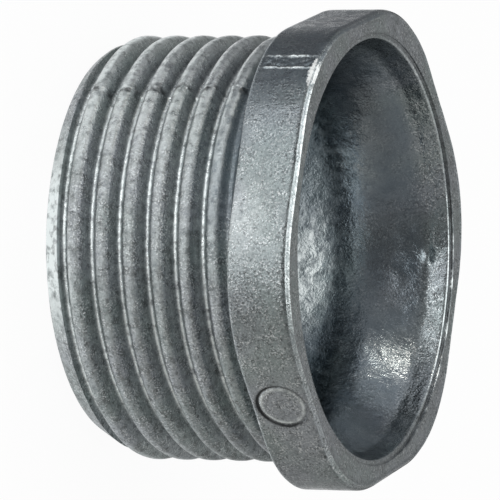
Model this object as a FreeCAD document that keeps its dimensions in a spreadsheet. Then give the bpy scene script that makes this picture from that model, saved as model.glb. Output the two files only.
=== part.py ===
import FreeCAD, Part
import math
import os
import Sketcher

# Zinc die-cast conduit chase nipple: one solid casting.
# The axis is Z. The head's back face, which seats against the box wall, is the plane Z = 0.
# The head and its mouth lie above that plane and the male thread below it.
# The two halves of the die met in the XZ plane, through two opposite corners of the head.

NODE = "nipple_body"

# Driving dimensions in millimetres, angles in degrees
SIZES = {
    "shoulder_width": 1.15,
    "head_thickness": 4.0,
    "head_corner_radius": 9.5,
    "head_front_chamfer": 0.35,
    "head_back_chamfer": 0.25,
    "thread_major_diameter": 26.3,
    "thread_pitch": 1.8143,
    "thread_depth": 1.15,
    "thread_crest_width": 0.36,
    "thread_root_width": 0.12,
    "thread_length": 13.0,
    "thread_start_below_end": 2.62,
    "ridge_foot": 0.4,
    "shank_wall": 1.55,
    "end_face_width": 1.4,
    "end_chamfer_angle": 45.0,
    "mouth_flare": 2.45,
    "mouth_wall_depth": 1.25,
    "mouth_draft_angle": 12.0,
    "mouth_rounding": 4.0,
    "throat_cone_angle": 28.0,
    "throat_rounding": 2.5,
    "gate_width": 1.25,
    "gate_height": 0.12,
    "gate_end_gap": 0.5,
    "ejector_diameter": 3.1,
    "ejector_depth": 0.1,
    "cut_overrun": 1.0,
}

# Radii and places that several features share, as expressions of the driving dimensions
CREST = "(sizes.thread_major_diameter / 2)"
ROOT = f"({CREST} - sizes.thread_depth)"
BORE = f"({ROOT} - sizes.shank_wall)"
MOUTH = f"({BORE} + sizes.mouth_flare)"
MOUTH_REACH = f"({MOUTH} + sizes.cut_overrun * tan(sizes.mouth_draft_angle))"
WALL_LEVEL = "(sizes.head_thickness - sizes.mouth_wall_depth)"
APOTHEM = f"({CREST} + sizes.shoulder_width)"
CIRCUMRADIUS = f"({APOTHEM} / cos(30))"
CORNER_REACH = f"(({APOTHEM} - sizes.head_corner_radius) / cos(30) + sizes.head_corner_radius)"
END_RADIUS = f"({BORE} + sizes.end_face_width)"
RIDGE_BASE = "(sizes.thread_pitch - sizes.thread_root_width)"
RIDGE_START = "(sizes.thread_length + sizes.thread_start_below_end)"
TRIM_DEPTH = "(sizes.thread_start_below_end + sizes.thread_pitch)"
TRIM_REACH = f"({CREST} + sizes.cut_overrun)"

# A sketch's own axes, counted down from -1, the points of its lines and arcs, and its origin
X_AXIS, Y_AXIS = range(-1, -3, -1)
START, END, CENTRE = range(1, 4)
ORIGIN = (X_AXIS, START)

UPWARD = FreeCAD.Vector(0, 0, 1)
SAME_PLACE = 1e-6

doc = FreeCAD.newDocument("chase_nipple")
sheet = doc.addObject("Spreadsheet::Sheet", "sizes")
for row, (alias, value) in enumerate(SIZES.items(), start=1):
    sheet.set(f"A{row}", alias)
    sheet.set(f"B{row}", str(value))
    sheet.setAlias(f"B{row}", alias)
doc.recompute()

body = doc.addObject("PartDesign::Body", "body")
body.Label = NODE


def worked_out(expression):
    """Gives an expression's present value as a plain number."""
    return float(sheet.evalExpression(expression.replace("sizes.", "")))


def new_sketch(name, role):
    """Makes a sketch on one of the body's own origin planes."""
    sketch = body.newObject("Sketcher::SketchObject", name)
    sketch.AttachmentSupport = next(plane for plane in body.Origin.OriginFeatures if plane.Role == role)
    sketch.MapMode = "FlatFace"
    return sketch


def line(sketch, start, end):
    return sketch.addGeometry(Part.LineSegment(FreeCAD.Vector(*start, 0), FreeCAD.Vector(*end, 0)))


def circle(sketch, centre, radius, construction=False):
    return sketch.addGeometry(Part.Circle(FreeCAD.Vector(*centre, 0), UPWARD, radius), construction)


def arc(sketch, centre, radius, first_angle, last_angle):
    whole = Part.Circle(FreeCAD.Vector(*centre, 0), UPWARD, radius)
    return sketch.addGeometry(Part.ArcOfCircle(whole, math.radians(first_angle), math.radians(last_angle)))


def rule(sketch, kind, *places):
    sketch.addConstraint(Sketcher.Constraint(kind, *places))


def closed_lines(sketch, points):
    """Draws a closed chain of lines, one from each point to the next."""
    edges = [line(sketch, start, end) for start, end in zip(points, points[1:] + points[:1])]
    for first, second in zip(edges, edges[1:] + edges[:1]):
        rule(sketch, "Coincident", first, END, second, START)
    return edges


def size(sketch, kind, places, expression):
    """Adds a dimension to a sketch and ties it to the sheet."""
    number = sketch.addConstraint(Sketcher.Constraint(kind, *places, worked_out(expression)))
    sketch.setExpression(f"Constraints[{number}]", expression)


def angle_from_axis(sketch, edge, expression):
    """Ties the angle between a line that leans outward and the nipple's axis to the sheet, in degrees."""
    lean = math.radians(90 - worked_out(expression))
    number = sketch.addConstraint(Sketcher.Constraint("Angle", edge, lean))
    sketch.setExpression(f"Constraints[{number}]", f"(90 - {expression}) * 1 deg")


def feature(kind, name, **properties):
    """Adds a feature to the body. Text values are tied to the sheet, others are set as they are."""
    item = body.newObject(f"PartDesign::{kind}", name)
    for key, value in properties.items():
        if isinstance(value, str):
            item.setExpression(key, value)
        else:
            setattr(item, key, value)
    doc.recompute()
    return item


def edges_where(base, wanted):
    return (base, [f"Edge{number}" for number, edge in enumerate(base.Shape.Edges, start=1) if wanted(edge)])


def lies_at(height):
    return lambda edge: all(abs(vertex.Z - height) < SAME_PLACE for vertex in edge.Vertexes)


def is_upright(edge):
    heights = [vertex.Z for vertex in edge.Vertexes]
    return max(heights) - min(heights) > SAME_PLACE


# Head: a hexagon with a corner on the X axis, well rounded at the corners and broken at both rims
outline = new_sketch("head_outline", "XY_Plane")
circumradius = worked_out(CIRCUMRADIUS)
turns = [math.radians(60 * number) for number in range(6)]
corners = [(circumradius * math.cos(turn), circumradius * math.sin(turn)) for turn in turns]
sides = closed_lines(outline, corners)
guide = circle(outline, (0, 0), circumradius, construction=True)
rule(outline, "Coincident", guide, CENTRE, *ORIGIN)
for side in sides:
    rule(outline, "PointOnObject", side, START, guide)
for side in sides[1:]:
    rule(outline, "Equal", sides[0], side)
rule(outline, "PointOnObject", sides[0], START, X_AXIS)
size(outline, "Radius", (guide,), CIRCUMRADIUS)
head = feature("Pad", "head", Profile=outline, Length="sizes.head_thickness")
upright_edges = edges_where(head, is_upright)
head = feature("Fillet", "head_corners", Base=upright_edges, Radius="sizes.head_corner_radius")
front_edges = edges_where(head, lies_at(worked_out("sizes.head_thickness")))
head = feature("Chamfer", "head_front_rim", Base=front_edges, Size="sizes.head_front_chamfer")
back_edges = edges_where(head, lies_at(0))
head = feature("Chamfer", "head_back_rim", Base=back_edges, Size="sizes.head_back_chamfer")

# Gate: the trimmed stub where the metal came in, a low land on the head's corner at the parting plane
stub = new_sketch("gate_outline", "YZ_Plane")
half_gate = worked_out("sizes.gate_width / 2")
gate_low = worked_out("sizes.gate_end_gap")
gate_high = worked_out("sizes.head_thickness - sizes.gate_end_gap")
bottom, right, top, left = closed_lines(
    stub, [(-half_gate, gate_low), (half_gate, gate_low), (half_gate, gate_high), (-half_gate, gate_high)])
rule(stub, "Vertical", right)
rule(stub, "Vertical", left)
rule(stub, "Horizontal", top)
rule(stub, "Symmetric", bottom, START, bottom, END, Y_AXIS)
size(stub, "DistanceX", (bottom, START, bottom, END), "sizes.gate_width")
size(stub, "DistanceY", (*ORIGIN, bottom, START), "sizes.gate_end_gap")
size(stub, "DistanceY", (*ORIGIN, top, START), "sizes.head_thickness - sizes.gate_end_gap")
feature("Pad", "gate", Profile=stub, Length=f"{CORNER_REACH} + sizes.gate_height", Reversed=True)

# Shank: a core as wide as the thread's root
core = new_sketch("shank_outline", "XY_Plane")
ring = circle(core, (0, 0), worked_out(ROOT))
rule(core, "Coincident", ring, CENTRE, *ORIGIN)
size(core, "Radius", (ring,), ROOT)
feature("Pad", "shank", Profile=core, Length="sizes.thread_length", Reversed=True)

# Thread: a right-hand ridge wound up the shank from below its end until it runs into the head's back
ridge = new_sketch("ridge_profile", "XZ_Plane")
root = worked_out(ROOT)
crest = worked_out(CREST)
foot = worked_out(f"{ROOT} - sizes.ridge_foot")
middle = -worked_out(RIDGE_START)
half_base = worked_out(f"{RIDGE_BASE} / 2")
half_crest = worked_out("sizes.thread_crest_width / 2")
foot_line, low_side, low_flank, crest_line, high_flank, high_side = closed_lines(
    ridge, [(foot, middle + half_base), (foot, middle - half_base), (root, middle - half_base),
            (crest, middle - half_crest), (crest, middle + half_crest), (root, middle + half_base)])
rule(ridge, "Vertical", foot_line)
rule(ridge, "Vertical", crest_line)
rule(ridge, "Horizontal", low_side)
rule(ridge, "Horizontal", high_side)
rule(ridge, "Equal", low_flank, high_flank)
size(ridge, "DistanceX", (*ORIGIN, low_side, END), ROOT)
size(ridge, "DistanceX", (*ORIGIN, high_side, START), ROOT)
size(ridge, "DistanceX", (*ORIGIN, crest_line, START), CREST)
size(ridge, "DistanceX", (low_side, START, low_side, END), "sizes.ridge_foot")
size(ridge, "DistanceY", (low_side, END, high_side, START), RIDGE_BASE)
size(ridge, "DistanceY", (crest_line, START, crest_line, END), "sizes.thread_crest_width")
size(ridge, "DistanceY", (low_side, END, *ORIGIN), f"{RIDGE_START} + {RIDGE_BASE} / 2")
feature("AdditiveHelix", "thread", Profile=ridge, ReferenceAxis=(ridge, ["V_Axis"]), LeftHanded=False,
        Pitch="sizes.thread_pitch", Height=f"{RIDGE_START} + sizes.thread_pitch")

# Thread end: what is below the end face or outside its chamfer comes away
trim = new_sketch("end_trim_profile", "XZ_Plane")
end_radius = worked_out(END_RADIUS)
outside = worked_out(TRIM_REACH)
end_level = -worked_out("sizes.thread_length")
trim_level = end_level - worked_out(TRIM_DEPTH)
chamfer_top = end_level + worked_out(f"({TRIM_REACH} - {END_RADIUS}) / tan(sizes.end_chamfer_angle)")
face, chamfer, outer, under, axis = closed_lines(
    trim, [(0, end_level), (end_radius, end_level), (outside, chamfer_top),
           (outside, trim_level), (0, trim_level)])
rule(trim, "Horizontal", face)
rule(trim, "Horizontal", under)
rule(trim, "Vertical", outer)
rule(trim, "PointOnObject", axis, START, Y_AXIS)
rule(trim, "PointOnObject", axis, END, Y_AXIS)
angle_from_axis(trim, chamfer, "sizes.end_chamfer_angle")
size(trim, "DistanceX", (face, START, face, END), END_RADIUS)
size(trim, "DistanceX", (under, END, under, START), TRIM_REACH)
size(trim, "DistanceY", (face, START, *ORIGIN), "sizes.thread_length")
size(trim, "DistanceY", (axis, START, axis, END), TRIM_DEPTH)
feature("Groove", "thread_end", Profile=trim, ReferenceAxis=(trim, ["V_Axis"]), Angle=360)

# Mouth, throat and bore: a drafted wall, a cone and a straight bore, with large bends between them
throat = new_sketch("throat_profile", "XZ_Plane")
mouth_reach = worked_out(MOUTH_REACH)
bore = worked_out(BORE)
above = worked_out("sizes.head_thickness + sizes.cut_overrun")
below = -worked_out("sizes.thread_length + sizes.cut_overrun")
wall_level = worked_out(WALL_LEVEL)
draft_angle = worked_out("sizes.mouth_draft_angle")
cone_angle = worked_out("sizes.throat_cone_angle")
draft = math.radians(draft_angle)
lean = math.radians(cone_angle)
bowl = worked_out("sizes.mouth_rounding")
bend = worked_out("sizes.throat_rounding")
wall_foot = mouth_reach - (above - wall_level) * math.tan(draft)
bowl_centre = (wall_foot - bowl * math.cos(draft), wall_level + bowl * math.sin(draft))
cone_top = (bowl_centre[0] + bowl * math.cos(lean), bowl_centre[1] - bowl * math.sin(lean))
cone_foot = bore + bend * (1 - math.cos(lean))
cone_level = cone_top[1] - (cone_top[0] - cone_foot) / math.tan(lean)
bend_level = cone_level - bend * math.sin(lean)
over = line(throat, (0, above), (mouth_reach, above))
mouth_wall = line(throat, (wall_foot, wall_level), (mouth_reach, above))
bowl_arc = arc(throat, bowl_centre, bowl, -cone_angle, -draft_angle)
cone = line(throat, (cone_foot, cone_level), cone_top)
bend_arc = arc(throat, (bore + bend, bend_level), bend, 180 - cone_angle, 180)
bore_wall = line(throat, (bore, bend_level), (bore, below))
under = line(throat, (bore, below), (0, below))
axis = line(throat, (0, below), (0, above))
for first, second in ((bore_wall, under), (under, axis), (axis, over)):
    rule(throat, "Coincident", first, END, second, START)
rule(throat, "Coincident", over, END, mouth_wall, END)
rule(throat, "Tangent", mouth_wall, START, bowl_arc, END)
rule(throat, "Tangent", bowl_arc, START, cone, END)
rule(throat, "Tangent", cone, START, bend_arc, START)
rule(throat, "Tangent", bend_arc, END, bore_wall, START)
rule(throat, "Horizontal", over)
rule(throat, "Horizontal", under)
rule(throat, "Vertical", bore_wall)
rule(throat, "PointOnObject", axis, START, Y_AXIS)
rule(throat, "PointOnObject", axis, END, Y_AXIS)
angle_from_axis(throat, mouth_wall, "sizes.mouth_draft_angle")
angle_from_axis(throat, cone, "sizes.throat_cone_angle")
size(throat, "Radius", (bowl_arc,), "sizes.mouth_rounding")
size(throat, "Radius", (bend_arc,), "sizes.throat_rounding")
size(throat, "DistanceX", (over, START, over, END), MOUTH_REACH)
size(throat, "DistanceX", (under, END, under, START), BORE)
size(throat, "DistanceY", (*ORIGIN, over, START), "sizes.head_thickness + sizes.cut_overrun")
size(throat, "DistanceY", (*ORIGIN, mouth_wall, START), WALL_LEVEL)
size(throat, "DistanceY", (axis, START, *ORIGIN), "sizes.thread_length + sizes.cut_overrun")
feature("Groove", "throat", Profile=throat, ReferenceAxis=(throat, ["V_Axis"]), Angle=360)

# Ejector mark: a shallow round print in the middle of the flat that faces along -Y
mark = new_sketch("ejector_outline", "XZ_Plane")
mark.setExpression("AttachmentOffset.Base.z", f"{APOTHEM} * 1 mm")
ring = circle(mark, (0, worked_out("sizes.head_thickness / 2")), worked_out("sizes.ejector_diameter / 2"))
rule(mark, "PointOnObject", ring, CENTRE, Y_AXIS)
size(mark, "DistanceY", (*ORIGIN, ring, CENTRE), "sizes.head_thickness / 2")
size(mark, "Diameter", (ring,), "sizes.ejector_diameter")
feature("Pocket", "ejector_mark", Profile=mark, Length="sizes.ejector_depth")

# Check every object, then write the casting
for item in doc.Objects:
    if "Invalid" in item.State or "Error" in item.State:
        raise RuntimeError(f"{item.Name} failed: {item.State}")
casting = body.Shape
if casting.isNull() or not casting.isValid() or len(casting.Solids) != 1:
    raise RuntimeError("the casting is not one valid solid")
os.makedirs("parts", exist_ok=True)
casting.exportStep(f"parts/{body.Label}.step")
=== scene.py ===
import math
from collections import namedtuple

import bmesh
import bpy
import numpy as np
from mathutils import Matrix, Vector, noise


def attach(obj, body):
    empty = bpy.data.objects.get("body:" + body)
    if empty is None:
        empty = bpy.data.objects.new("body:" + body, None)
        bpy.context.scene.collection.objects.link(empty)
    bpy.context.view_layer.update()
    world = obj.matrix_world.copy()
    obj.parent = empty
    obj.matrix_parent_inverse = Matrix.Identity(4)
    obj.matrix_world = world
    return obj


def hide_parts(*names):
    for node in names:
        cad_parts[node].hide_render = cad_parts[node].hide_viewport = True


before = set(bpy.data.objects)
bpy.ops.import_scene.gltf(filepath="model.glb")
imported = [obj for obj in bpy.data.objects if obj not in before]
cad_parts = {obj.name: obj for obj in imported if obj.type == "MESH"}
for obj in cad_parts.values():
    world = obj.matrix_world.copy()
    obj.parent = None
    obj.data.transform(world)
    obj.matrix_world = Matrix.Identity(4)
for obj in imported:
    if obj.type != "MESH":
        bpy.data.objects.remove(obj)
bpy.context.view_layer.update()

MM = 0.001

# The casting's sizes in millimetres and its angles, as in the CAD model
APOTHEM = 14.3
CORNER_RADIUS = 9.5
HEAD = 4.0
FRONT_EDGE = 0.35
BACK_EDGE = 0.25
CREST = 13.15
ROOT = 12.0
PITCH = 1.8143
THREAD_LENGTH = 13.0
BORE = 10.45
MOUTH = 12.9
MOUTH_DEPTH = 1.25
MOUTH_DRAFT = math.radians(12)
CONE_ANGLE = math.radians(28)
GATE_ANGLE = 180
GATE_GAP = 0.5
MARK_ANGLE = 270
MARK_RADIUS = 1.55

# Photograph's view: the axis lies level in the image and the mouth is turned towards the camera
AWAY_AZIMUTH = math.radians(48.36)
YAW = math.radians(21.11)
ROLL = math.radians(-0.51)
DISTANCE = 420.8
FOCAL_PIXELS = 6873.6
MOUTH_PIXEL = (378.8, 249.3)
IMAGE_PIXELS = 500
SENSOR_WIDTH = 36.0

AXIS = Vector((0, 0, 1))
AWAY = Vector((math.cos(AWAY_AZIMUTH), math.sin(AWAY_AZIMUTH), 0))
PHOTO_UP = Vector((-math.sin(AWAY_AZIMUTH), math.cos(AWAY_AZIMUTH), 0))


def smooth_step(start, end, value):
    """0 up to start, 1 from end on and an even change in between. Start may be the larger of the two."""
    share = np.clip((value - start) / (end - start), 0, 1)
    return share * share * (3 - 2 * share)


def hump(offset, width):
    """A rounded hump, 1 where offset is 0 and fading over width."""
    return np.exp(-(offset / width) ** 2)


def soft_min(first, second, size):
    """The smaller of two values, blended over size where they cross."""
    blend = np.clip(0.5 + 0.5 * (second - first) / size, 0, 1)
    return second + (first - second) * blend - size * blend * (1 - blend) * 0.5


def noise_at(points, spacing):
    """Smooth noise from -1 to 1 at points in millimetres, with features about spacing apart."""
    return np.array([noise.noise(Vector(point) / spacing) for point in points])


def off_angle(degrees, angle):
    """How far angles lie from one angle, from -180 to 180 degrees."""
    return (degrees - angle + 180) % 360 - 180


# Columns of points round the axis, in degrees. They lie closer together at the gate and at the ejector mark.
EVEN_COLUMNS = 270
FineZone = namedtuple("FineZone", "middle reach step")
FINE_ZONES = (FineZone(GATE_ANGLE, 3.2, 0.16), FineZone(MARK_ANGLE, 7.2, 0.24))


def column_angles():
    angles = list(np.arange(EVEN_COLUMNS) * 360 / EVEN_COLUMNS)
    for zone in FINE_ZONES:
        angles = [angle for angle in angles if abs(angle - zone.middle) > zone.reach]
        angles += list(np.arange(zone.middle - zone.reach, zone.middle + zone.reach, zone.step))
    return np.array(sorted(angles))


DEGREES = column_angles()
PHI = np.radians(DEGREES)
COLUMNS = len(PHI)


def arc_from(radius, angle):
    """Distance along the surface from the line at that angle, in every column."""
    return radius * np.radians(off_angle(DEGREES, angle))


def in_space(radius, height):
    """Points in space of rows that are given by radius and height."""
    return np.stack([radius * np.cos(PHI), radius * np.sin(PHI), height], axis=-1)


def ring(radius, height):
    """One row of points: a radius and a height in every column."""
    return np.broadcast_to(radius, COLUMNS).astype(float), np.broadcast_to(height, COLUMNS).astype(float)


def between(first, last, steps):
    """Rows that divide the way from one row to another, without the two ends."""
    shares = np.arange(1, steps) / steps
    return [tuple(a + (b - a) * share for a, b in zip(first, last)) for share in shares]


def rounded(before, corner, after, size, steps):
    """Rows round a corner of the section, from size before the corner to size after it."""
    def towards(target):
        way = [t - c for t, c in zip(target, corner)]
        length = np.hypot(*way)
        return [c + w * size / length for c, w in zip(corner, way)]
    start = towards(before)
    end = towards(after)
    rows = []
    for t in np.linspace(0, 1, steps + 1):
        rows.append(tuple((1 - t) ** 2 * s + 2 * t * (1 - t) * c + t ** 2 * e
                          for s, c, e in zip(start, corner, end)))
    return rows


# Thread: a rounder profile than the CAD model's. The last groove is pinched out below the shoulder.
CREST_LEVEL = -11.9
HALF_CREST = 0.06
CREST_ROUNDING = 0.45
ROOT_ROUNDING = 0.22
FLANK_LEAN = math.radians(22)
PINCH = 0.45
PINCH_START = -1.9
PINCH_END = -1.0

# Lead-in cone at the thread's end, a little off the axis
LEAD_RADIUS = 12.02
LEAD_ANGLE = math.radians(32)
LEAD_SHIFT = 0.3
LEAD_BLEND = 0.06

# End face's rounded edge. A row that comes within SNAP of an edge is moved onto it.
END_EDGE = 0.12
END_EDGE_LEVEL = -THREAD_LENGTH + END_EDGE
SNAP = 0.04

# Rows in one pitch, as shares of the pitch below the crest's middle, closer together at the bends
HALF_SHARES = [0.0, 0.06, 0.115, 0.165, 0.21, 0.255, 0.32, 0.385, 0.425, 0.463, 0.5]
PHASES = HALF_SHARES + [1 - share for share in HALF_SHARES[-2:0:-1]]
PER_PITCH = len(PHASES)


def thread_radius(height, phi):
    """Radius of the ridge's surface at a height and an angle: flat crest, two bends and a leaning flank."""
    turns = (height - CREST_LEVEL) / PITCH - phi / (2 * math.pi)
    off_crest = np.abs((turns + 0.5) % 1 - 0.5) * PITCH
    crest_reach = CREST_ROUNDING * math.cos(FLANK_LEAN)
    root_reach = ROOT_ROUNDING * math.cos(FLANK_LEAN)
    flank_reach = PITCH / 2 - HALF_CREST - crest_reach - root_reach
    along_crest = np.clip(off_crest - HALF_CREST, 0, crest_reach)
    along_flank = np.clip(off_crest - HALF_CREST - crest_reach, 0, flank_reach)
    before_root = np.clip(PITCH / 2 - off_crest, 0, root_reach)
    crest_drop = CREST_ROUNDING - np.sqrt(CREST_ROUNDING ** 2 - along_crest ** 2)
    flank_drop = along_flank / math.tan(FLANK_LEAN)
    root_rise = ROOT_ROUNDING - np.sqrt(ROOT_ROUNDING ** 2 - before_root ** 2)
    root_drop = ROOT_ROUNDING * (1 - math.sin(FLANK_LEAN)) - root_rise
    pinched = 1 - PINCH * smooth_step(PINCH_START, PINCH_END, height)
    return CREST - (crest_drop + flank_drop + root_drop) * pinched


def lead_radius(height, phi):
    """Radius of the lead-in cone at a height and an angle."""
    off_axis = LEAD_SHIFT * np.sin(phi - AWAY_AZIMUTH)
    return LEAD_RADIUS + off_axis + (height + THREAD_LENGTH) * math.tan(LEAD_ANGLE)


def shank_radius(height):
    """Radius of the threaded shank in every column, cut back by the lead-in cone."""
    return soft_min(thread_radius(height, PHI), lead_radius(height, PHI), LEAD_BLEND)


def thread_rows():
    """Rows that follow the ridge up the shank, cut off at the shoulder and at the end face."""
    first_crest = CREST_LEVEL + PITCH * math.ceil(-CREST_LEVEL / PITCH)
    turns = math.ceil((THREAD_LENGTH + PITCH + first_crest) / PITCH) + 1
    rows = []
    for turn in range(turns):
        for phase in PHASES:
            height = first_crest + PITCH * (PHI / (2 * math.pi) - turn - phase)
            height = np.where(np.abs(height) < SNAP, 0, height)
            height = np.where(np.abs(height - END_EDGE_LEVEL) < SNAP, END_EDGE_LEVEL, height)
            height = np.clip(height, END_EDGE_LEVEL, 0)
            rows.append((shank_radius(height), height))
    return rows


# Bell: the radii of its two bends, which differ from the CAD model's, and how many rows each stretch has
MOUTH_ROUNDING = 2.5
THROAT_ROUNDING = 9.0
MOUTH_BEND_ROWS = 8
THROAT_BEND_ROWS = 10
CONE_STEPS = 5


def throat_rows():
    """Rows of the funnel behind the mouth: a bend out of the bore, a cone and a bend into its wall."""
    wall_foot = MOUTH - MOUTH_DEPTH * math.tan(MOUTH_DRAFT)
    upper = []
    for turn in np.linspace(CONE_ANGLE, MOUTH_DRAFT, MOUTH_BEND_ROWS):
        inward = MOUTH_ROUNDING * (math.cos(MOUTH_DRAFT) - math.cos(turn))
        down = MOUTH_ROUNDING * (math.sin(turn) - math.sin(MOUTH_DRAFT))
        upper.append(ring(wall_foot - inward, HEAD - MOUTH_DEPTH - down))
    cone_top_radius, cone_top_level = (values[0] for values in upper[0])
    cone_foot = BORE + THROAT_ROUNDING * (1 - math.cos(CONE_ANGLE))
    cone_level = cone_top_level - (cone_top_radius - cone_foot) / math.tan(CONE_ANGLE)
    bore_level = cone_level - THROAT_ROUNDING * math.sin(CONE_ANGLE)
    lower = []
    for turn in np.linspace(0, CONE_ANGLE, THROAT_BEND_ROWS):
        outward = THROAT_ROUNDING * (1 - math.cos(turn))
        lower.append(ring(BORE + outward, bore_level + THROAT_ROUNDING * math.sin(turn)))
    return lower + between(lower[-1], upper[0], CONE_STEPS) + upper


# Head: the bead round its front, the ledge inside the mouth's ring and the rounding of each edge
BEAD = 0.05
BEAD_FOOT = 0.12
BEAD_OVERHANG = 0.02
BEAD_ROUNDING = 0.06
FRONT_ROUNDING = 0.16
FRONT_REACH = 0.2
BACK_REACH = 1.4 * BACK_EDGE
MOUTH_EDGE = 0.14
LIP_WIDTH = 0.3
LIP_DEPTH = 0.18
LIP_SLOPE = 0.03
LIP_FOOT_ROUNDING = 0.04
LIP_TOP_SHARE = 0.55
BORE_END_ROUNDING = 0.15

Section = namedtuple("Section", "rows first_thread after_thread first_inside")


def head_radius(inset):
    """Distance from the axis to the rounded hexagon's wall, moved in by inset, in every column."""
    half_side = math.pi / 6
    off_corner = np.radians(np.abs((DEGREES + 30) % 60 - 30))
    off_middle = half_side - off_corner
    core = APOTHEM - CORNER_RADIUS
    corner = CORNER_RADIUS - inset
    centre = core / math.cos(half_side)
    arc = centre * np.cos(off_corner) + np.sqrt(corner ** 2 - (centre * np.sin(off_corner)) ** 2)
    flat = (APOTHEM - inset) / np.cos(off_middle)
    half_flat = math.atan(core * math.tan(half_side) / (APOTHEM - inset))
    return np.where(off_middle < half_flat, flat, arc)


def head_rows():
    """Rows from the mouth's edge over a ledge, deeper on the far side, the ring and the wall to the back."""
    far_side = smooth_step(-0.1, 0.6, np.cos(PHI - AWAY_AZIMUTH))
    top = HEAD - BEAD
    lip = top - LIP_DEPTH * (0.5 + 0.5 * far_side)
    mouth_wall = ring(MOUTH - 0.2, HEAD - 1)
    mouth_edge = ring(MOUTH, lip)
    lip_foot = ring(MOUTH + LIP_WIDTH, lip)
    lip_top = ring(MOUTH + LIP_WIDTH + LIP_SLOPE, top)
    ring_outer = ring(head_radius(FRONT_EDGE + BEAD_FOOT), top)
    bead = ring(head_radius(FRONT_EDGE - BEAD_OVERHANG), HEAD)
    front = ring(head_radius(0), HEAD - FRONT_EDGE)
    wall_high = ring(head_radius(0), HEAD - FRONT_EDGE - FRONT_REACH)
    wall_low = ring(head_radius(0), BACK_REACH)
    back = ring(head_radius(0), 0)
    shoulder = ring(head_radius(BACK_REACH), 0)

    rows = rounded(mouth_wall, mouth_edge, lip_foot, MOUTH_EDGE, steps=4)
    rows += between(rows[-1], lip_foot, steps=2)
    rows += rounded(mouth_edge, lip_foot, lip_top, LIP_FOOT_ROUNDING, steps=2)
    rows += rounded(lip_foot, lip_top, ring_outer, LIP_TOP_SHARE * (top - lip), steps=3)
    rows += between(rows[-1], ring_outer, steps=5) + [ring_outer]
    rows += rounded(ring_outer, bead, front, BEAD_ROUNDING, steps=3)
    rows += between(rows[-1], front, steps=3)
    rows += rounded(bead, front, wall_high, FRONT_ROUNDING, steps=3)
    rows += between(rows[-1], wall_low, steps=44)
    rows += rounded(wall_high, back, shoulder, BACK_EDGE, steps=4)
    return rows


def section_rows():
    """All rows of the casting's section, from the mouth's edge out over head and thread and back inside."""
    thread = thread_rows()
    throat = throat_rows()
    end_edge = ring(shank_radius(np.full(COLUMNS, -THREAD_LENGTH)), -THREAD_LENGTH)
    bore_end = ring(BORE, -THREAD_LENGTH)

    rows = head_rows()
    rows += between(rows[-1], thread[0], steps=4)
    first_thread = len(rows)
    rows += thread
    after_thread = len(rows)
    rows += rounded(thread[-1], end_edge, bore_end, END_EDGE, steps=3)[1:]
    rows += between(rows[-1], bore_end, steps=4)
    first_inside = len(rows)
    rows += rounded(end_edge, bore_end, throat[0], BORE_END_ROUNDING, steps=3)
    rows += between(rows[-1], throat[0], steps=10)
    rows += throat
    rows += between(rows[-1], rows[0], steps=6)
    return Section(rows, first_thread, after_thread, first_inside)


# Ejector mark: a shallow round print with a groove round it
PRINT_DEPTH = 0.05
PRINT_SLOPE = 0.2
GROOVE_DEPTH = 0.1
GROOVE_WIDTH = 0.07
GROOVE_INSET = 0.03
MARK_ZONE = 8


def add_ejector_mark(radius, height):
    from_middle = np.hypot(radius * np.cos(PHI), height - HEAD / 2)
    on_flat = (np.abs(DEGREES - MARK_ANGLE) < MARK_ZONE) & (height > 0) & (radius > APOTHEM - 0.2)
    disc = 1 - smooth_step(MARK_RADIUS - PRINT_SLOPE, MARK_RADIUS, from_middle)
    groove = hump(from_middle - MARK_RADIUS + GROOVE_INSET, GROOVE_WIDTH)
    return radius - on_flat * (PRINT_DEPTH * disc + GROOVE_DEPTH * groove)


# Gate: a rough trimmed land with a raised burr along each side
ROUGH_SPACING = 0.35
LAND_FULL = 0.46
LAND_END = 0.6
LAND_ROUGHNESS = 0.09
LAND_SINK = 0.01
GATE_FADE = 0.1
BURR_PLACE = 0.52
BURR_WANDER = 0.07
BURR_WIDTH = 0.085
BURR_HEIGHT = 0.075


def add_gate(radius, height, rough):
    across = np.abs(arc_from(radius, GATE_ANGLE))
    starts = smooth_step(GATE_GAP - GATE_FADE, GATE_GAP + GATE_FADE, height)
    ends = smooth_step(HEAD - GATE_GAP - GATE_FADE, HEAD - GATE_GAP + GATE_FADE, height)
    on_wall = (radius > APOTHEM) & (height > 0) & (height < HEAD - 0.2)
    land = 1 - smooth_step(LAND_FULL, LAND_END, across)
    burr = hump(across - BURR_PLACE - BURR_WANDER * rough, BURR_WIDTH) * smooth_step(-0.7, 0.2, rough)
    relief = BURR_HEIGHT * burr + land * (LAND_ROUGHNESS * rough - LAND_SINK)
    return radius + on_wall * starts * (1 - ends) * relief


# Parting: the die halves' seam down the thread, with a thin broken flash and small hollows beside it
FLASH_WANDER = 0.05
FLASH_WIDTH = 0.07
FLASH_HEIGHT = 0.045
HOLLOW_PLACE = 0.22
HOLLOW_WIDTH = 0.2
HOLLOW_DEPTH = 0.11


def add_parting(radius, rough, zone):
    for angle in (GATE_ANGLE, GATE_ANGLE - 180):
        across = arc_from(radius, angle)
        flash = hump(across - FLASH_WANDER * rough, FLASH_WIDTH) * smooth_step(-0.3, 0.4, rough)
        hollow = hump(across - HOLLOW_PLACE, HOLLOW_WIDTH) * smooth_step(0.05, 0.5, -rough)
        radius = radius + zone * (FLASH_HEIGHT * flash - HOLLOW_DEPTH * hollow)
    return radius


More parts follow.
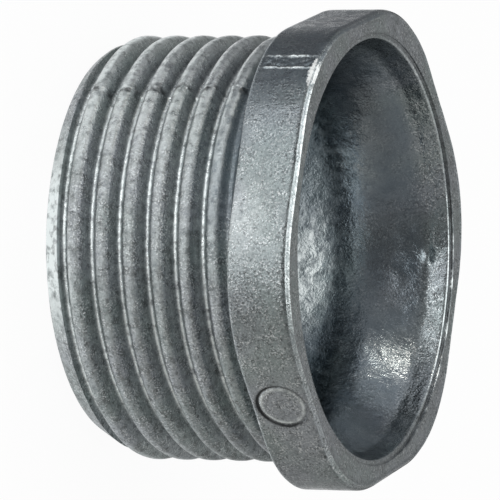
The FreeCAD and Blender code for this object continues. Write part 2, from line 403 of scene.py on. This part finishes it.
# Dents: round pits. Their depth is towards the axis, so a pit in the mouth's wall has a negative one.
Pit = namedtuple("Pit", "angle level width depth")
Dents = namedtuple("Dents", "count widths depths seed")
THREAD_DENTS = Dents(count=130, widths=(0.08, 0.2), depths=(0.02, 0.05), seed=3)
HEAD_DENTS = Dents(count=45, widths=(0.07, 0.16), depths=(0.015, 0.04), seed=5)
BELL_DENTS = Dents(count=70, widths=(0.15, 0.45), depths=(-0.03, 0.03), seed=8)
MOUTH_PIT = Pit(angle=47.0, level=2.43, width=0.3, depth=-0.2)


def add_pit(radius, height, zone, pit):
    from_middle = np.hypot(arc_from(radius, pit.angle), height - pit.level)
    return radius - zone * pit.depth * hump(from_middle, pit.width)


def add_dents(radius, height, zone, dents):
    """Scatters pits over one zone of the surface."""
    draw = np.random.default_rng(dents.seed)
    low = height[zone].min()
    high = height[zone].max()
    for _ in range(dents.count):
        angle = draw.uniform(0, 360)
        level = draw.uniform(low, high)
        width = draw.uniform(*dents.widths)
        depth = draw.uniform(*dents.depths)
        radius = add_pit(radius, height, zone, Pit(angle, level, width, depth))
    return radius


# Scuff: the front edge beside the gate, where the trimming tool slipped
SCUFF_ANGLE = GATE_ANGLE + 3.5
SCUFF_WIDTH = 0.55
SCUFF_DEPTH = 0.09
SCUFF_TEETH = 14


def scuff_front_edge(radius, height):
    edge = (height > HEAD - 0.5) & (radius > APOTHEM - 0.6)
    across = arc_from(radius, SCUFF_ANGLE)
    teeth = 0.6 + 0.4 * np.cos(across * SCUFF_TEETH)
    return radius - edge * SCUFF_DEPTH * hump(across, SCUFF_WIDTH) * teeth


def casting_points(section):
    """Every point of every row in space, with the small forms."""
    radius = np.array([row[0] for row in section.rows])
    height = np.array([row[1] for row in section.rows])
    number = np.arange(len(section.rows))[:, None]
    thread = (number > section.first_thread) & (number < section.after_thread - 1)
    bell = (number > section.first_inside) & (height < HEAD - 0.3)
    rough = noise_at(in_space(radius, height).reshape(-1, 3), ROUGH_SPACING).reshape(radius.shape)
    radius = add_ejector_mark(radius, height)
    radius = add_gate(radius, height, rough)
    radius = add_parting(radius, rough, thread & (height < -0.05))
    radius = add_dents(radius, height, thread & (height < -0.3), THREAD_DENTS)
    head_wall = (radius > APOTHEM - 0.1) & (height > 0.4)
    radius = add_dents(radius, height, head_wall, HEAD_DENTS)
    radius = add_dents(radius, height, bell, BELL_DENTS)
    radius = add_pit(radius, height, bell, MOUTH_PIT)
    radius = scuff_front_edge(radius, height)
    return in_space(radius, height).reshape(-1, 3)


def casting_faces(section):
    """Joins each row to the next. A thread row climbs one pitch a turn, so its end meets an earlier row."""
    count = len(section.rows)
    last = COLUMNS - 1
    faces = []

    def point(row, column):
        return row % count * COLUMNS + column

    def join(row, column, next_row, next_column):
        faces.append((point(row, column), point(next_row, next_column),
                      point(next_row + 1, next_column), point(row + 1, column)))

    for row in range(count):
        for column in range(last):
            join(row, column, row, column + 1)
        winds = section.first_thread <= row < section.after_thread - 1
        if not winds:
            join(row, last, row, 0)
        elif row - PER_PITCH >= section.first_thread:
            join(row, last, row - PER_PITCH, 0)
    return faces


# Mesh: points this close are one, edges this short are dropped and edges this steep stay sharp
SAME_POINT = 0.002 * MM
NO_LENGTH = 0.001 * MM
SHARP_ANGLE = math.radians(50)


def build_casting():
    section = section_rows()
    mesh = bpy.data.meshes.new("nipple_casting")
    mesh.from_pydata((casting_points(section) * MM).tolist(), [], casting_faces(section))
    shaped = bmesh.new()
    shaped.from_mesh(mesh)
    bmesh.ops.remove_doubles(shaped, verts=shaped.verts, dist=SAME_POINT)
    bmesh.ops.dissolve_degenerate(shaped, edges=shaped.edges, dist=NO_LENGTH)
    bmesh.ops.recalc_face_normals(shaped, faces=shaped.faces)
    shaped.to_mesh(mesh)
    shaped.free()
    ripple_surface(mesh)
    mark_skin(mesh)
    mesh.shade_smooth()
    mesh.set_sharp_from_angle(angle=SHARP_ANGLE)
    casting = bpy.data.objects.new("nipple_casting", mesh)
    bpy.context.scene.collection.objects.link(casting)
    return casting


def read_vectors(items, key):
    values = np.empty(len(items) * 3, dtype=np.float32)
    items.foreach_get(key, values)
    return values.reshape(-1, 3).astype(float)


# Ripple: metal never fills a die quite evenly, so the skin sinks a little, in broad waves and in small ones
BROAD_SPACING = 3.2
BROAD_SINK = 0.014
SMALL_SPACING = 0.75
SMALL_SINK = 0.009
SMALL_SHIFT = 40


def ripple_surface(mesh):
    points = read_vectors(mesh.vertices, "co")
    normals = read_vectors(mesh.vertices, "normal")
    places = points / MM
    broad = noise_at(places, BROAD_SPACING)
    small = noise_at(places + SMALL_SHIFT, SMALL_SPACING)
    sink = -(BROAD_SINK * (1 + broad) + SMALL_SINK * (1 + small)) * MM
    mesh.vertices.foreach_set("co", (points + normals * sink[:, None]).astype(np.float32).ravel())
    mesh.update()


# Zones of the skin: angle and reach round the axis in degrees, level and spread along it, and strength
Sector = namedtuple("Sector", "angle reach")
Patch = namedtuple("Patch", "angle reach level spread amount")
# The side where the front edge's painted highlight, and the dark band under it, are strongest
EDGE_HIGHLIGHT_SIDE = Sector(angle=205, reach=42)
# Painted light on the bore's near wall, so that the far wall's reflection of it shows a highlight
NEAR_WALL_LIGHT = Sector(angle=228, reach=50)
# Painted highlight on the lead-in cone
END_CONE_HIGHLIGHT = Sector(angle=226, reach=25)
DULL_SIDE = Sector(angle=160, reach=42)
STAIN = Sector(angle=198, reach=26)
# Painted highlight on the near flat
NEAR_FLAT_HIGHLIGHT = Patch(angle=221, reach=8, level=0.8, spread=1.4, amount=0.35)
# Two painted highlights in the bore
BORE_HIGHLIGHT = Patch(angle=41, reach=17, level=-4.3, spread=1.5, amount=1.5)
UPPER_BORE_HIGHLIGHT = Patch(angle=88, reach=26, level=-2.6, spread=1.8, amount=0.4)
# Painted shade in the upper throat, where the wall reflects dark surroundings
UPPER_THROAT_SHADE = Patch(angle=108, reach=40, level=0.3, spread=1.3, amount=0.5)


class Skin:
    """Where each point of the casting's mesh lies and what part of the surface it belongs to."""

    def __init__(self, mesh):
        self.points = read_vectors(mesh.vertices, "co") / MM
        normals = read_vectors(mesh.vertices, "normal")
        x, y, self.height = self.points.T
        self.radius = np.hypot(x, y)
        self.degrees = np.degrees(np.arctan2(y, x))
        self.facing = (x * normals[:, 0] + y * normals[:, 1]) / self.radius
        self.tilt = normals[:, 2]
        upward = (x * PHOTO_UP.x + y * PHOTO_UP.y) / self.radius
        self.upper = smooth_step(0.2, 0.8, upward)
        self.lower = smooth_step(0.2, 0.8, -upward)
        self.below_middle = smooth_step(0.3, -0.1, upward)
        self.mark_thread(np.arctan2(y, x))
        self.mark_head(x, y)

    def mark_thread(self, phi):
        """Thread, how deep its grooves are sunk, its lead-in cone and the line at each groove's root where a
        highlight is painted.
        """
        above_end = self.height > -THREAD_LENGTH + 0.06
        self.thread = (self.height < -0.03) & (self.facing > -0.2) & above_end
        self.sunk = np.clip((CREST - self.radius) / (CREST - ROOT), 0, 1)
        self.off_cone = smooth_step(0.05, 0.3, lead_radius(self.height, phi) - self.radius)
        self.groove = self.thread * self.off_cone
        self.root_highlight = self.groove * smooth_step(0.72, 0.82, self.sunk) * hump(self.tilt, 0.55)

    def mark_head(self, x, y):
        """Head's wall, ejector mark, gate and mouth, and the inside."""
        self.inside = smooth_step(0.0, 0.2, -self.facing) * (self.height < HEAD - 0.05)
        self.wall = (self.facing > 0.5) * (self.height > 0)
        self.mark = (y < -APOTHEM + 0.3) & (self.height > 0)
        self.off_mark_rim = np.hypot(x, self.height - HEAD / 2) - MARK_RADIUS
        self.across_gate = self.radius * np.radians(off_angle(self.degrees, GATE_ANGLE))
        self.edge_highlight_side = self.sector(EDGE_HIGHLIGHT_SIDE)
        far_side = np.clip(0.3 + 0.7 * np.cos(np.radians(self.degrees) - AWAY_AZIMUTH), 0, 1)
        self.lip = (self.height > HEAD - 0.35) * far_side
        self.seam_spots = hump(self.across_gate - 0.15, 0.4) * self.noise(0.55, 0.0, 0.3)

    def sector(self, zone):
        return hump(off_angle(self.degrees, zone.angle), zone.reach)

    def patch(self, zone):
        return zone.amount * self.sector(zone) * hump(self.height - zone.level, zone.spread)

    def noise(self, spacing, start, end):
        return smooth_step(start, end, noise_at(self.points, spacing))


def tarnish_and_shade_layer(skin):
    """Dark tarnish and painted shade: painted shade in the grooves, partly tarnish, and in the upper throat,
    painted shadow round the mark and under the ledge, tarnish spots along the seam and a dark band under the
    front edge.
    """
    # Painted shade in the grooves, partly tarnish: darker on the flanks and at the roots, weaker on the
    # lower side and next to the shoulder
    left_flanks = 0.12 * smooth_step(0.35, 0.8, -skin.tilt) * smooth_step(0.1, 0.3, skin.sunk)
    right_flanks = 0.6 * smooth_step(0.4, 0.8, skin.tilt) * hump(skin.sunk - 0.74, 0.1)
    right_flanks = right_flanks * smooth_step(-1.4, -1.9, skin.height)
    groove_shade_and_tarnish = skin.groove * np.maximum(left_flanks, right_flanks) * (1 - 0.75 * skin.lower)
    seam = skin.groove * skin.seam_spots
    # A dark band under the front edge, stronger on the side where the front edge's highlight is painted
    front_band = hump(skin.height - (HEAD - FRONT_EDGE + 0.01), 0.13) * (skin.facing > 0.3)
    front_band = front_band * (0.1 + 0.4 * skin.edge_highlight_side)
    # Painted shade: a dark band in the upper throat that stands for what its wall reflects
    throat = skin.inside * skin.patch(UPPER_THROAT_SHADE)
    # Painted shadow in the ejector mark's groove, darker towards the thread, the side of the recess that
    # lies in shade
    shadow_side = np.clip(0.95 - 0.45 * (skin.height - HEAD / 2) / MARK_RADIUS, 0, 1)
    mark_groove_shadow = 1.5 * skin.mark * shadow_side * hump(skin.off_mark_rim - 0.03, 0.1)
    # Painted shadow: a dark line at the ledge's foot inside the mouth, strongest on the far side
    ledge_shadow = skin.lip * hump(skin.radius - MOUTH - LIP_WIDTH, 0.1)
    return np.maximum.reduce([groove_shade_and_tarnish, seam, front_band, throat, mark_groove_shadow, ledge_shadow])


def thread_wear_and_highlights(skin):
    """Bare metal on the crests and flanks, with painted highlights: brighter and wider on the crests' upper
    side, a line at each groove's root and the near end's cone.
    """
    # Crests: partly wear, partly painted highlight, brighter and wider on the upper side
    crest_depth = 0.14 + 0.2 * skin.upper
    crest_wear_and_highlight = skin.thread * (1 - smooth_step(0.02, crest_depth, skin.sunk))
    crest_wear_and_highlight = crest_wear_and_highlight * (0.3 - 0.2 * skin.lower + 0.5 * skin.upper)
    flanks = 0.22 * skin.groove * smooth_step(0.3, 0.5, skin.sunk) * smooth_step(0.5, 0.8, np.abs(skin.tilt))
    ridges = np.maximum(crest_wear_and_highlight, flanks) * (1 - 0.85 * skin.seam_spots)
    # Painted highlight: a bright line at each groove's root
    root_highlights = 1.4 * skin.root_highlight
    # Painted highlight on the near side of the lead-in cone
    end_cone_highlight = 1.5 * skin.thread * (1 - skin.off_cone) * skin.sector(END_CONE_HIGHLIGHT)
    return np.maximum.reduce([ridges, root_highlights, end_cone_highlight])


def head_wear_and_highlights(skin):
    """Bare metal and painted highlights on the head: a painted highlight on the near flat, painted
    highlights on the edges of mouth, ledge and mark, a painted highlight with wear along the front edge, and
    bare metal on the burrs.
    """
    # Painted highlight on the near flat
    near_flat_highlight = skin.wall * skin.patch(NEAR_FLAT_HIGHLIGHT)
    # Painted highlights: bright lines on the mouth's edge and on the ledge's edge, strongest on the far side
    # and, on the ledge, below the middle
    mouth_edge = 0.6 * skin.lip * hump(skin.radius - MOUTH, 0.09)
    ledge_edge_highlight = (skin.height > HEAD - 0.17) * hump(skin.radius - MOUTH - LIP_WIDTH - 0.07, 0.08)
    ledge_edge_highlight = 0.9 * skin.lip * ledge_edge_highlight * skin.noise(0.45, -0.1, 0.25) * skin.below_middle
    burrs = skin.wall * hump(skin.height - HEAD / 2, 1.6) * hump(np.abs(skin.across_gate) - BURR_PLACE, 0.1)
    # Front edge: partly wear, partly a painted highlight, strongest on the side where the edge catches the
    # light
    front_edge_wear_and_highlight = smooth_step(HEAD - 0.17, HEAD - 0.11, skin.height) * (skin.radius > MOUTH + 0.55)
    front_edge_wear_and_highlight = front_edge_wear_and_highlight * (skin.facing > 0.05) * (0.05 + 0.95 * skin.edge_highlight_side)
    # Painted highlight on the ejector mark's inner rim
    mark_rim_highlight = 0.8 * skin.mark * hump(skin.off_mark_rim + 0.21, 0.1)
    return np.maximum.reduce([near_flat_highlight, mouth_edge, ledge_edge_highlight, burrs, front_edge_wear_and_highlight, mark_rim_highlight])


def bore_highlights(skin):
    """Painted highlights inside: two patches of the bore, and painted light on the near side's wall, which
    the far wall reflects.
    """
    # Painted light on the near wall, seen in the far wall's reflection
    near_wall_light = 0.45 * skin.sector(NEAR_WALL_LIGHT) * smooth_step(-4, -2, skin.height)
    return skin.inside * np.maximum.reduce([skin.patch(BORE_HIGHLIGHT), skin.patch(UPPER_BORE_HIGHLIGHT), near_wall_light])


def haze_and_shade_layer(skin):
    """A bluish haze on the head beside the gate and on the thread next to it, and painted shade in the bell
    and the bore, partly haze.
    """
    # Painted shade inside the bell and the bore, partly haze, kept off the bore's painted highlight and
    # lighter at the mouth
    bell = 0.35 + 0.65 * smooth_step(-6.5, -2.0, skin.height)
    deep_shade = smooth_step(2.0, -2.0, skin.height) * smooth_step(-8.0, -5.5, skin.height)
    deep_shade = deep_shade * (1 - skin.sector(BORE_HIGHLIGHT))
    clear_mouth = 1 - 0.8 * smooth_step(1.6, 2.7, skin.height)
    clear_throat = 1 - 0.5 * hump(skin.height + 2.0, 1.0)
    inner_shade = skin.inside * np.maximum(bell, deep_shade) * clear_mouth * clear_throat
    gate_side = skin.wall * skin.sector(DULL_SIDE)
    stain = 0.9 * skin.thread * skin.sector(STAIN) * smooth_step(-4.2, -1.5, skin.height)
    return np.maximum.reduce([inner_shade, gate_side, stain])


def scrape_layer(skin):
    """The torn metal of the scuff at the front edge."""
    return (skin.facing > 0.2) * hump(skin.height - HEAD + 0.25, 0.36) * hump(skin.across_gate - 0.8, 1.7)


def mark_skin(mesh):
    """Writes how grimy and shaded, how worn and lit by painted highlights, how hazy and shaded inside, how
    coarse and how scraped the skin is at each point, for the material.
    """
    skin = Skin(mesh)
    layers = {
        "grime_and_shade": tarnish_and_shade_layer(skin),
        "wear_and_highlights": np.maximum.reduce([thread_wear_and_highlights(skin), head_wear_and_highlights(skin), bore_highlights(skin)]),
        "haze_and_shade": haze_and_shade_layer(skin),
        "coarse": skin.thread * (1 - skin.root_highlight) * (1 - 0.6 * skin.upper) - 0.5 * skin.inside,
        "scrape": scrape_layer(skin),
    }
    for name, values in layers.items():
        layer = mesh.attributes.new(name, "FLOAT", "POINT")
        layer.data.foreach_set("value", values.astype(np.float32))


def wire(tree, kind, inputs, **settings):
    """Adds a shader node. An input that is another node's socket is linked, any other is set."""
    made = tree.nodes.new(f"ShaderNode{kind}")
    for name, value in settings.items():
        setattr(made, name, value)
    for name, value in inputs.items():
        if isinstance(value, bpy.types.NodeSocket):
            tree.links.new(value, made.inputs[name])
        else:
            made.inputs[name].default_value = value
    return made


class Nodes:
    """Adds nodes to a new material by plain words, and gives back the socket that carries each result."""

    def __init__(self, name):
        self.material = bpy.data.materials.new(name)
        self.material.use_nodes = True
        self.tree = self.material.node_tree
        self.shader = self.tree.nodes["Principled BSDF"]
        self.place = wire(self.tree, "TexCoord", {}).outputs["Object"]

    def grain(self, spacing, detail=2.0, roughness=0.5):
        scale = 1 / (spacing * MM)
        inputs = {"Vector": self.place, "Scale": scale, "Detail": detail, "Roughness": roughness}
        return wire(self.tree, "TexNoise", inputs).outputs["Fac"]

    def layer(self, name):
        return wire(self.tree, "Attribute", {}, attribute_name=name).outputs["Fac"]

    def spread(self, value, low, high, new_low=0.0, new_high=1.0):
        inputs = {0: value, 1: low, 2: high, 3: new_low, 4: new_high}
        return wire(self.tree, "MapRange", inputs, interpolation_type="SMOOTHSTEP").outputs[0]

    def reckon(self, operation, first, second):
        return wire(self.tree, "Math", {0: first, 1: second}, operation=operation).outputs[0]

    def times(self, first, second):
        return self.reckon("MULTIPLY", first, second)

    def mixed(self, share, first, second):
        return wire(self.tree, "Mix", {0: share, 6: first, 7: second}, data_type="RGBA").outputs[2]

    def bump(self, strength, distance, height, **below):
        inputs = {"Strength": strength, "Distance": distance * MM, "Height": height}
        return wire(self.tree, "Bump", inputs | below).outputs[0]

    def to_shader(self, name, value):
        self.tree.links.new(value, self.shader.inputs[name])


# Colours of the zinc's skin, from the clean metal to what lies on it; haze, tarnish and bare metal also
# carry painted shade and painted highlights
GREENISH_ZINC = (0.30, 0.345, 0.345, 1)
BLUISH_ZINC = (0.335, 0.36, 0.385, 1)
CLOUD = (0.18, 0.205, 0.21, 1)
MOTTLE = (0.10, 0.108, 0.108, 1)
DARK_GRAIN = (0.10, 0.108, 0.11, 1)
LIGHT_GRAIN = (0.78, 0.81, 0.82, 1)
PINHOLE = (0.06, 0.065, 0.065, 1)
# Haze, also the colour of painted shade inside the bell and the bore
HAZE_AND_SHADE = (0.185, 0.225, 0.26, 1)
# Tarnish, also the colour of painted shade and painted shadow
TARNISH_AND_SHADE = (0.038, 0.04, 0.042, 1)
# Bare metal, also the colour of painted highlights
BARE_METAL_AND_HIGHLIGHT = (0.86, 0.92, 0.92, 1)
TORN_METAL = (0.93, 0.96, 0.96, 1)


def zinc_colour(nodes, torn):
    """A cold grey with clouds and a fine grain, then haze with painted shade, tarnish with painted shade,
    bare metal with painted highlights, and the scuff over it.
    """
    skin = nodes.mixed(nodes.spread(nodes.grain(4.5, 1), 0.35, 0.65), GREENISH_ZINC, BLUISH_ZINC)
    skin = nodes.mixed(nodes.spread(nodes.grain(1.1, 3), 0.42, 0.75, 0.0, 0.5), skin, CLOUD)
    mottle = nodes.spread(nodes.grain(0.55, 3), 0.48, 0.68, 0.0, 0.6)
    skin = nodes.mixed(nodes.times(nodes.spread(nodes.layer("coarse"), 0.0, 1.0), mottle), skin, MOTTLE)
    patches = nodes.spread(nodes.grain(0.9, 2), 0.35, 0.6, 0.25, 0.7)
    dark_grain = nodes.spread(nodes.grain(0.14, 2), 0.47, 0.62)
    skin = nodes.mixed(nodes.times(patches, dark_grain), skin, DARK_GRAIN)
    light_grain = nodes.spread(nodes.grain(0.11, 2), 0.52, 0.66)
    skin = nodes.mixed(nodes.times(patches, light_grain), skin, LIGHT_GRAIN)
    skin = nodes.mixed(nodes.spread(nodes.grain(0.19, 0), 0.71, 0.76, 0.0, 0.6), skin, PINHOLE)
    haze_and_shade_mottle = nodes.spread(nodes.grain(2.6, 2), 0.3, 0.7, 0.5, 0.9)
    skin = nodes.mixed(nodes.times(nodes.layer("haze_and_shade"), haze_and_shade_mottle), skin, HAZE_AND_SHADE)
    # Tarnish and painted shade, broken up by noise
    tarnish_and_shade_mottle = nodes.spread(nodes.grain(0.9, 3), 0.25, 0.65, 0.65, 0.95)
    skin = nodes.mixed(nodes.times(nodes.layer("grime_and_shade"), tarnish_and_shade_mottle), skin, TARNISH_AND_SHADE)
    # Bare metal and painted highlights, broken up by noise
    bare_and_highlight_mottle = nodes.spread(nodes.grain(0.5, 3), 0.3, 0.6, 0.15, 0.9)
    skin = nodes.mixed(nodes.times(nodes.layer("wear_and_highlights"), bare_and_highlight_mottle), skin, BARE_METAL_AND_HIGHLIGHT)
    return nodes.mixed(torn, skin, TORN_METAL)


def zinc_roughness(nodes, torn):
    """A satin skin, rougher on the thread and where the scuff tore it."""
    satin = nodes.spread(nodes.grain(0.7, 3), 0.3, 0.7, 0.22, 0.36)
    rougher = nodes.reckon("ADD", satin, nodes.times(nodes.layer("coarse"), 0.2))
    return nodes.reckon("ADD", rougher, nodes.times(torn, 0.3))


def zinc_relief(nodes):
    """A fine grain, fainter inside the bell, over a broad unevenness."""
    strength = nodes.spread(nodes.layer("coarse"), -0.5, 0.1, 0.2, 0.65)
    fine = nodes.bump(strength, 0.07, nodes.grain(0.14, 2, 0.6))
    return nodes.bump(0.35, 0.14, nodes.grain(0.8, 3), Normal=fine)


def cast_zinc():
    """Dull cast zinc with tarnish and painted shade in its hollows and bare metal and painted highlights on
    its edges.
    """
    nodes = Nodes("cast_zinc")
    torn = nodes.spread(nodes.times(nodes.layer("scrape"), nodes.grain(0.2, 4, 0.7)), 0.28, 0.38)
    nodes.to_shader("Base Color", zinc_colour(nodes, torn))
    nodes.to_shader("Roughness", zinc_roughness(nodes, torn))
    nodes.to_shader("Metallic", nodes.spread(torn, 0.0, 1.0, 1.0, 0.6))
    nodes.to_shader("Normal", zinc_relief(nodes))
    return nodes.material


# Paper: a pale strip under the casting, along the camera's view
PAPER_COLOUR = (0.85, 0.85, 0.85, 1)
PAPER_ROUGHNESS = 0.9
PAPER_GLOW = 0.95
PAPER_HALF_WIDTH = 26
PAPER_FRONT = 24
PAPER_BEHIND = 160


def white_paper():
    """Pale paper: its own colour carries the shadow, and most of it shows as plain white."""
    material = bpy.data.materials.new("white_paper")
    material.use_nodes = True
    tree = material.node_tree
    shader = tree.nodes["Principled BSDF"]
    shader.inputs["Base Color"].default_value = PAPER_COLOUR
    shader.inputs["Roughness"].default_value = PAPER_ROUGHNESS
    path = wire(tree, "LightPath", {}).outputs
    seen = path["Is Camera Ray"]
    for ray in ("Is Glossy Ray", "Is Transmission Ray"):
        seen = wire(tree, "Math", {0: seen, 1: path[ray]}, operation="MAXIMUM").outputs[0]
    share = wire(tree, "Math", {0: seen, 1: PAPER_GLOW}, operation="MULTIPLY").outputs[0]
    glow = wire(tree, "Emission", {}).outputs[0]
    shown = wire(tree, "MixShader", {0: share, 1: shader.outputs[0], 2: glow}).outputs[0]
    tree.links.new(shown, tree.nodes["Material Output"].inputs["Surface"])
    return material


def lay_paper():
    corners = [(-PAPER_FRONT, -PAPER_HALF_WIDTH), (PAPER_BEHIND, -PAPER_HALF_WIDTH),
               (PAPER_BEHIND, PAPER_HALF_WIDTH), (-PAPER_FRONT, PAPER_HALF_WIDTH)]
    points = [(AWAY * along + PHOTO_UP * across - AXIS * THREAD_LENGTH) * MM for along, across in corners]
    mesh = bpy.data.meshes.new("paper_floor")
    mesh.from_pydata([tuple(point) for point in points], [], [(0, 1, 2, 3)])
    mesh.materials.append(white_paper())
    paper = bpy.data.objects.new("paper_floor", mesh)
    bpy.context.scene.collection.objects.link(paper)


def set_camera():
    """Puts the mouth's middle at its place in the image, with the camera turned and not shifted."""
    forward = AWAY * math.cos(YAW) - AXIS * math.sin(YAW)
    level = AXIS * math.cos(YAW) + AWAY * math.sin(YAW)
    right = level * math.cos(ROLL) - PHOTO_UP * math.sin(ROLL)
    up = level * math.sin(ROLL) + PHOTO_UP * math.cos(ROLL)
    place = AXIS * HEAD - forward * DISTANCE
    off_right = (MOUTH_PIXEL[0] - IMAGE_PIXELS / 2) / FOCAL_PIXELS
    off_up = (IMAGE_PIXELS / 2 - MOUTH_PIXEL[1]) / FOCAL_PIXELS
    aim = forward - right * off_right - up * off_up
    back = -aim.normalized()
    side = up.cross(back).normalized()
    over = back.cross(side)
    turn = Matrix((side, over, back)).transposed().to_4x4()
    data = bpy.data.cameras.new("camera")
    data.sensor_width = SENSOR_WIDTH
    data.lens = FOCAL_PIXELS * SENSOR_WIDTH / IMAGE_PIXELS
    data.clip_start = 0.01
    camera = bpy.data.objects.new("camera", data)
    camera.matrix_world = Matrix.Translation(place * MM) @ turn
    bpy.context.scene.collection.objects.link(camera)
    bpy.context.scene.camera = camera


# Room: its grey and the shade of each side, with the cosines where a side starts and where it is full
ROOM = (0.38, 0.38, 0.38, 1)
Side = namedtuple("Side", "azimuth elevation start full shade")
SIDES = (
    Side(252, -15, 0.6, 0.95, (0.52, 0.51, 0.49, 1)),
    Side(66, -14, 0.55, 0.95, (0.2, 0.2, 0.21, 1)),
    Side(180, 33, 0.85, 0.97, (0.2, 0.2, 0.2, 1)),
    Side(0, 22, 0.65, 0.95, (0.33, 0.33, 0.33, 1)),
    Side(315, 48, 0.75, 0.97, (0.75, 0.75, 0.73, 1)),
    Side(0, 68, 0.85, 0.97, (0.65, 0.65, 0.65, 1)),
    Side(95, 12, 0.88, 0.97, (0.6, 0.61, 0.63, 1)),
)

# Lamps: soft rectangles that face the casting, width and height in degrees as the casting sees them
LAMP_DISTANCE = 200
WHITE = (1, 1, 1)
WARM = (1, 0.9, 0.79)
Lamp = namedtuple("Lamp", "name azimuth elevation width height brightness colour")
LAMPS = (
    Lamp("front_lamp", 160, -27, 62, 62, 0.93, WHITE),
    Lamp("side_lamp", 150, 5, 56, 10, 2.2, WHITE),
    Lamp("top_lamp", 115, 74, 64, 52, 1.6, WHITE),
    Lamp("small_lamp", 105, 29, 4, 6, 17.0, WARM),
)


def direction(azimuth, elevation):
    """A direction from the casting. Azimuth 0 is away from the camera and 90 is up in the photograph."""
    turn = math.radians(azimuth)
    lift = math.radians(elevation)
    return (AWAY * math.cos(turn) + PHOTO_UP * math.sin(turn)) * math.cos(lift) + AXIS * math.sin(lift)


def paint_room():
    world = bpy.data.worlds.new("studio")
    bpy.context.scene.world = world
    world.use_nodes = True
    tree = world.node_tree
    place = wire(tree, "TexCoord", {}).outputs["Generated"]
    room = ROOM
    for side in SIDES:
        inputs = {0: place, 1: direction(side.azimuth, side.elevation)}
        towards = wire(tree, "VectorMath", inputs, operation="DOT_PRODUCT").outputs["Value"]
        share = wire(tree, "MapRange", {0: towards, 1: side.start, 2: side.full}).outputs[0]
        room = wire(tree, "Mix", {0: share, 6: room, 7: side.shade}, data_type="RGBA").outputs[2]
    tree.links.new(room, tree.nodes["Background"].inputs["Color"])


def hang_lamp(lamp):
    data = bpy.data.lights.new(lamp.name, "AREA")
    data.shape = "RECTANGLE"
    data.size = 2 * LAMP_DISTANCE * math.tan(math.radians(lamp.width / 2)) * MM
    data.size_y = 2 * LAMP_DISTANCE * math.tan(math.radians(lamp.height / 2)) * MM
    data.energy = lamp.brightness * math.pi * data.size * data.size_y
    data.color = lamp.colour
    way = direction(lamp.azimuth, lamp.elevation)
    across = AXIS.cross(way).normalized()
    hung = bpy.data.objects.new(lamp.name, data)
    hung.matrix_world = Matrix((across, way.cross(across), way)).transposed().to_4x4()
    hung.location = way * LAMP_DISTANCE * MM
    hung.visible_camera = False
    bpy.context.scene.collection.objects.link(hung)


casting = build_casting()
casting.data.materials.append(cast_zinc())
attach(casting, "root")
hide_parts("nipple_body")

lay_paper()
set_camera()
paint_room()
for lamp in LAMPS:
    hang_lamp(lamp)
bpy.context.scene.view_settings.view_transform = "Standard"
